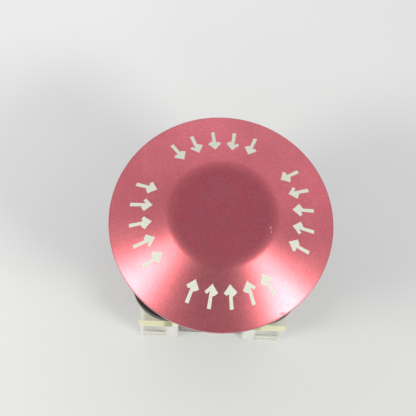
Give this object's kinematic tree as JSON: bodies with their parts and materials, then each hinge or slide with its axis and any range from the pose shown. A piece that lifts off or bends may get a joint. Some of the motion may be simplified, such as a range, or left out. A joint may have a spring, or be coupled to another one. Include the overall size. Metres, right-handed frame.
{
  "type": "emergency stop button",
  "caption": "Push-pull emergency stop with a flared red metal palm head, clamped in a panel hole, and clear contact blocks behind it.",
  "frame": {"origin": "centre of the panel hole, in the plane of the panel's rear face, where the gasket's front face rests", "axes": "+Z along the button's axis, out of the panel towards the user; +Y up on an upright panel; +X to the user's right"},
  "size_m": [0.0572, 0.0572, 0.0599],
  "materials": {
    "red_anodised_aluminium": "bead-blasted and anodised red, satin",
    "black_plastic": "moulded, fine texture",
    "white_plastic": "moulded acetal, smooth",
    "red_plastic": "moulded",
    "green_plastic": "moulded",
    "clear_plastic": "clear polycarbonate with a slight yellow tint, polished",
    "rubber": "moulded nitrile rubber",
    "die_cast_zinc": "die cast, tumbled, satin grey",
    "plated_steel": "zinc plated",
    "brass": "stamped"
  },
  "bodies": {
    "panel_body": {"mounting_ring": "die_cast_zinc", "ring_washer": "plated_steel", "panel_gasket": "rubber", "threaded_bushing": "die_cast_zinc", "shaft_guide_bush": "white_plastic", "shaft_seal": "rubber", "seal_retainer": "plated_steel", "rear_housing": "black_plastic", "latch_housing": "die_cast_zinc", "latch_cover": "die_cast_zinc", "latch_cover_screw_lower": "plated_steel", "latch_cover_screw_upper": "plated_steel", "latch_pin_lower": "plated_steel", "latch_pin_upper": "plated_steel", "carrier_screw_left": "plated_steel", "carrier_screw_right": "plated_steel", "nc_block_housing": "clear_plastic", "nc_block_cover": "clear_plastic", "nc_block_screw_lower": "plated_steel", "nc_block_screw_upper": "plated_steel", "nc_fixed_contact_lower": "brass", "nc_fixed_contact_upper": "brass", "nc_clamp_plate_lower": "plated_steel", "nc_clamp_plate_upper": "plated_steel", "nc_terminal_screw_lower": "plated_steel", "nc_terminal_screw_upper": "plated_steel", "nc_return_spring": "plated_steel", "no_block_housing": "clear_plastic", "no_block_cover": "clear_plastic", "no_block_screw_lower": "plated_steel", "no_block_screw_upper": "plated_steel", "no_fixed_contact_lower": "brass", "no_fixed_contact_upper": "brass", "no_clamp_plate_lower": "plated_steel", "no_clamp_plate_upper": "plated_steel", "no_terminal_screw_lower": "plated_steel", "no_terminal_screw_upper": "plated_steel", "no_return_spring": "plated_steel"},
    "push_head": {"palm_head": "red_anodised_aluminium", "head_set_screw": "plated_steel", "operator_shaft": "plated_steel", "actuator_crossbar": "black_plastic", "latch_spool": "plated_steel", "spool_retaining_clip": "plated_steel"},
    "nc_plunger_body": {"nc_plunger": "red_plastic", "nc_contact_spring": "plated_steel"},
    "nc_bridge_body": {"nc_contact_bridge": "brass"},
    "no_plunger_body": {"no_plunger": "green_plastic", "no_contact_spring": "plated_steel"},
    "no_bridge_body": {"no_contact_bridge": "brass"},
    "latch_arm_upper_body": {"latch_arm_upper": "plated_steel"},
    "latch_arm_lower_body": {"latch_arm_lower": "plated_steel"},
    "latch_spring_body": {"latch_spring_left": "plated_steel", "latch_spring_right": "plated_steel"}
  },
  "joints": [
    {"name": "push_pull", "type": "slide", "parent": "panel_body", "child": "push_head", "axis": [0, 0, -1], "range_m": [0, 0.006]},
    {"name": "nc_plunger_slide", "type": "slide", "parent": "panel_body", "child": "nc_plunger_body", "axis": [0, 0, -1], "range_m": [0, 0.004], "deforming": ["nc_return_spring"]},
    {"name": "nc_bridge_slide", "type": "slide", "parent": "nc_plunger_body", "child": "nc_bridge_body", "axis": [0, 0, 1], "range_m": [0, 0.0004], "deforming": ["nc_contact_spring"]},
    {"name": "no_plunger_slide", "type": "slide", "parent": "panel_body", "child": "no_plunger_body", "axis": [0, 0, -1], "range_m": [0, 0.004], "deforming": ["no_return_spring"]},
    {"name": "no_bridge_slide", "type": "slide", "parent": "no_plunger_body", "child": "no_bridge_body", "axis": [0, 0, 1], "range_m": [0, 0.00055], "deforming": ["no_contact_spring"]},
    {"name": "latch_arm_upper_pivot", "type": "hinge", "parent": "panel_body", "child": "latch_arm_upper_body", "pos_m": [0, 0.0109, -0.0286], "axis": [1, 0, 0], "range_deg": [0, 49.3]},
    {"name": "latch_arm_lower_pivot", "type": "hinge", "parent": "panel_body", "child": "latch_arm_lower_body", "pos_m": [0, -0.0109, -0.0286], "axis": [-1, 0, 0], "range_deg": [0, 49.3]},
    {"name": "latch_spring_slide", "type": "slide", "parent": "panel_body", "child": "latch_spring_body", "axis": [0, 0, -1], "range_m": [0, 0.00467]}
  ],
  "couplings": [
    {"joint": "nc_plunger_slide", "follows": "push_pull", "ratio": 0.6666},
    {"joint": "nc_bridge_slide", "follows": "push_pull", "ratio": 0.0666},
    {"joint": "no_plunger_slide", "follows": "push_pull", "ratio": 0.6666},
    {"joint": "no_bridge_slide", "follows": "push_pull", "ratio": 0.0916},
    {"joint": "latch_arm_upper_pivot", "follows": "push_pull", "rad_per_m": 143.2},
    {"joint": "latch_arm_lower_pivot", "follows": "push_pull", "rad_per_m": 143.2},
    {"joint": "latch_spring_slide", "follows": "push_pull", "ratio": 0.7777}
  ]
}
